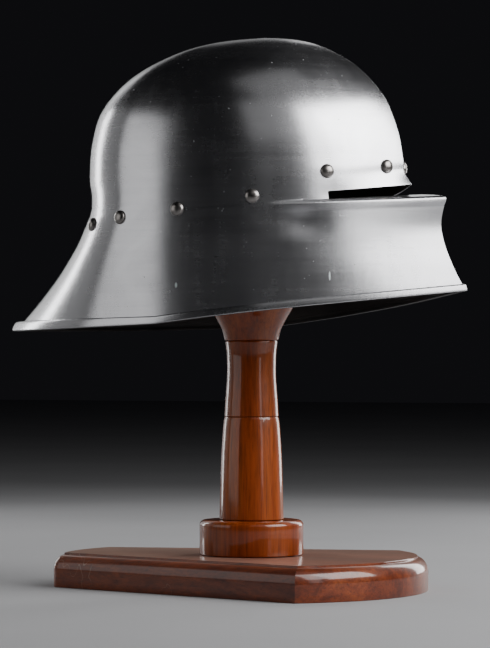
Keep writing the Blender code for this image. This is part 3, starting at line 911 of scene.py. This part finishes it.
def painted_shade_steel(name):
    """Unpolished, rough inner face of the plate, with a near-black colour that is painted shade of
    the helmet's inside.
    """
    nodes = Nodes(name)
    shader = nodes.shader
    shader.inputs["Metallic"].default_value = 1.0
    clouds = nodes.noise(24.0, 4.0, 0.6, 0.4)
    grit = nodes.noise(320.0, 3.0, 0.6)
    # Near-black colour with faint clouds: painted shade of the helmet's inside and its
    # turned-under rim
    nodes.link(
        nodes.ramp(clouds, [(0.3, (0.035, 0.034, 0.034)), (0.7, (0.075, 0.072, 0.070))]),
        shader.inputs["Base Color"],
    )
    nodes.link(
        nodes.math("ADD", nodes.math("MULTIPLY", clouds, 0.2), 0.48), shader.inputs["Roughness"],
    )
    nodes.link(nodes.bump(grit, 0.2, 0.0003), shader.inputs["Normal"])
    return nodes.material


def rivet_metal(name):
    """Duller metal of the rivet heads, a little brown, with small pits."""
    nodes = Nodes(name)
    shader = nodes.shader
    shader.inputs["Metallic"].default_value = 1.0
    pits = nodes.noise(900.0, 3.0, 0.6)
    clouds = nodes.noise(140.0, 3.0, 0.6)
    nodes.link(
        nodes.ramp(clouds, [(0.3, (0.22, 0.205, 0.195)), (0.7, (0.34, 0.32, 0.305))]),
        shader.inputs["Base Color"],
    )
    nodes.link(
        nodes.math("ADD", nodes.math("MULTIPLY", clouds, 0.2), 0.20), shader.inputs["Roughness"],
    )
    nodes.link(nodes.bump(pits, 0.15, 0.0002), shader.inputs["Normal"])
    return nodes.material


def wood(name, stretch, twist, tones, coat_rough, sheen):
    """Red-brown varnished hardwood with grain along one axis under a glossy coat."""
    nodes = Nodes(name)
    shader = nodes.shader
    shader.inputs["Specular IOR Level"].default_value = 0.2
    shader.inputs["Coat Weight"].default_value = 0.85
    shader.inputs["Sheen Weight"].default_value = sheen
    shader.inputs["Sheen Roughness"].default_value = 0.35
    shader.inputs["Sheen Tint"].default_value = (1.0, 0.70, 0.56, 1.0)
    shader.inputs["Coat IOR"].default_value = 1.5
    grain = nodes.noise(34.0, 5.0, 0.6, twist, stretch)
    fibres = nodes.noise(330.0, 4.0, 0.7, twist * 0.2, stretch)
    pores = nodes.noise(800.0, 2.0, 0.6, 0.0, stretch)
    base = nodes.ramp(grain, list(zip((0.28, 0.44, 0.58, 0.76), tones)))
    tone = nodes.mix(1.0, base, nodes.ramp(fibres, [(0.36, 0.62), (0.60, 1.0)]), "MULTIPLY")
    tone = nodes.mix(1.0, tone, nodes.ramp(pores, [(0.32, 0.66), (0.46, 1.0)]), "MULTIPLY")
    lines = nodes.ramp(
        nodes.noise(46.0, 2.0, 0.4, 0.6, (1.0, 1.0, 0.6)),
        [(0.0, 0.0), (0.496, 0.0), (0.5, 1.0), (0.504, 0.0)],
    )
    rare = nodes.ramp(nodes.noise(19.0, 1.0, 0.5), [(0.0, 0.0), (0.60, 0.0), (0.66, 0.5)])
    scratches = nodes.math("MULTIPLY", lines, rare)
    nodes.link(nodes.mix(scratches, tone, (0.60, 0.42, 0.30)), shader.inputs["Base Color"])
    nodes.link(
        nodes.math("ADD", nodes.math("MULTIPLY", fibres, 0.2), 0.34), shader.inputs["Roughness"],
    )
    wear = nodes.noise(48.0, 3.0, 0.6, 0.3)
    smears = nodes.ramp(wear, [(0.35, coat_rough), (0.75, coat_rough * 1.7)])
    nodes.link(smears, shader.inputs["Coat Roughness"])
    normal = nodes.bump(fibres, 0.14, 0.0004)
    nodes.link(nodes.bump(wear, 0.05, 0.0008, normal), shader.inputs["Normal"])
    coat = nodes.bump(fibres, 0.05, 0.0003)
    nodes.link(nodes.bump(wear, 0.08, 0.0010, coat), shader.inputs["Coat Normal"])
    return nodes.material


def build_floor():
    mesh = bpy.data.meshes.new("floor")
    surface = bmesh.new()
    bmesh.ops.create_grid(surface, x_segments=8, y_segments=8, size=FLOOR_HALF)
    surface.to_mesh(mesh)
    surface.free()
    floor = new_object("floor", mesh)
    nodes = Nodes("floor_paper")
    clouds = nodes.noise(3.0, 3.0, 0.5)
    tone = nodes.ramp(clouds, [(0.3, (0.37, 0.37, 0.38)), (0.7, (0.40, 0.40, 0.41))])
    nodes.link(tone, nodes.shader.inputs["Base Color"])
    nodes.shader.inputs["Roughness"].default_value = 0.8
    mesh.materials.append(nodes.material)


def softbox(name, turn, distance, rise, width, height, radiance, drop):
    """Area light that faces the column's axis, turned to the right of the camera's direction."""
    azimuth = VIEW_AZIMUTH + math.radians(turn)
    data = bpy.data.lights.new(name, "AREA")
    data.shape = "RECTANGLE"
    data.size = width
    data.size_y = height
    data.energy = radiance * math.pi * width * height
    light = bpy.data.objects.new(name, data)
    light.location = (distance * math.sin(azimuth), -distance * math.cos(azimuth), rise)
    aim = Vector((0.0, 0.0, rise - drop)) - light.location
    light.rotation_euler = aim.to_track_quat("-Z", "Y").to_euler()
    bpy.context.scene.collection.objects.link(light)


def build_lights():
    for values in LIGHTS:
        softbox(*values)
    world = bpy.data.worlds.new("studio")
    bpy.context.scene.world = world
    world.use_nodes = True
    background = world.node_tree.nodes["Background"]
    background.inputs["Color"].default_value = (0.006, 0.006, 0.007, 1.0)
    background.inputs["Strength"].default_value = 1.0


def build_camera():
    data = bpy.data.cameras.new("camera")
    data.lens = VIEW_LENS
    data.sensor_width = VIEW_SENSOR
    data.sensor_fit = "AUTO"
    data.clip_end = VIEW_FAR
    camera = bpy.data.objects.new("camera", data)
    sine = math.sin(VIEW_AZIMUTH)
    cosine = math.cos(VIEW_AZIMUTH)
    camera.location = (VIEW_DISTANCE * sine, -VIEW_DISTANCE * cosine, VIEW_HEIGHT)
    target = Vector((cosine * AIM_ACROSS, sine * AIM_ACROSS, AIM_HEIGHT))
    camera.rotation_euler = (target - camera.location).to_track_quat("-Z", "Y").to_euler()
    bpy.context.scene.collection.objects.link(camera)
    bpy.context.scene.camera = camera


def main():
    polished = steel("polished_plate", tint=(0.62, 0.62, 0.64), rough=0.22)
    build_plate(polished, painted_shade_steel("inner_face"))
    build_rivets(rivet_metal("rivet_metal"))
    turned = wood(
        "turned_wood", stretch=(1.0, 1.0, 0.05), twist=0.35, tones=TURNED_TONES,
        coat_rough=0.06, sheen=0.0,
    )
    board = wood(
        "board_wood", stretch=(1.0, 0.10, 1.0), twist=1.1, tones=BOARD_GRAIN_AND_SHADE_TONES,
        coat_rough=0.08, sheen=0.30,
    )
    build_collar(turned)
    build_column(turned)
    build_head_form(turned)
    build_base(board)
    build_floor()
    build_lights()
    build_camera()


main()
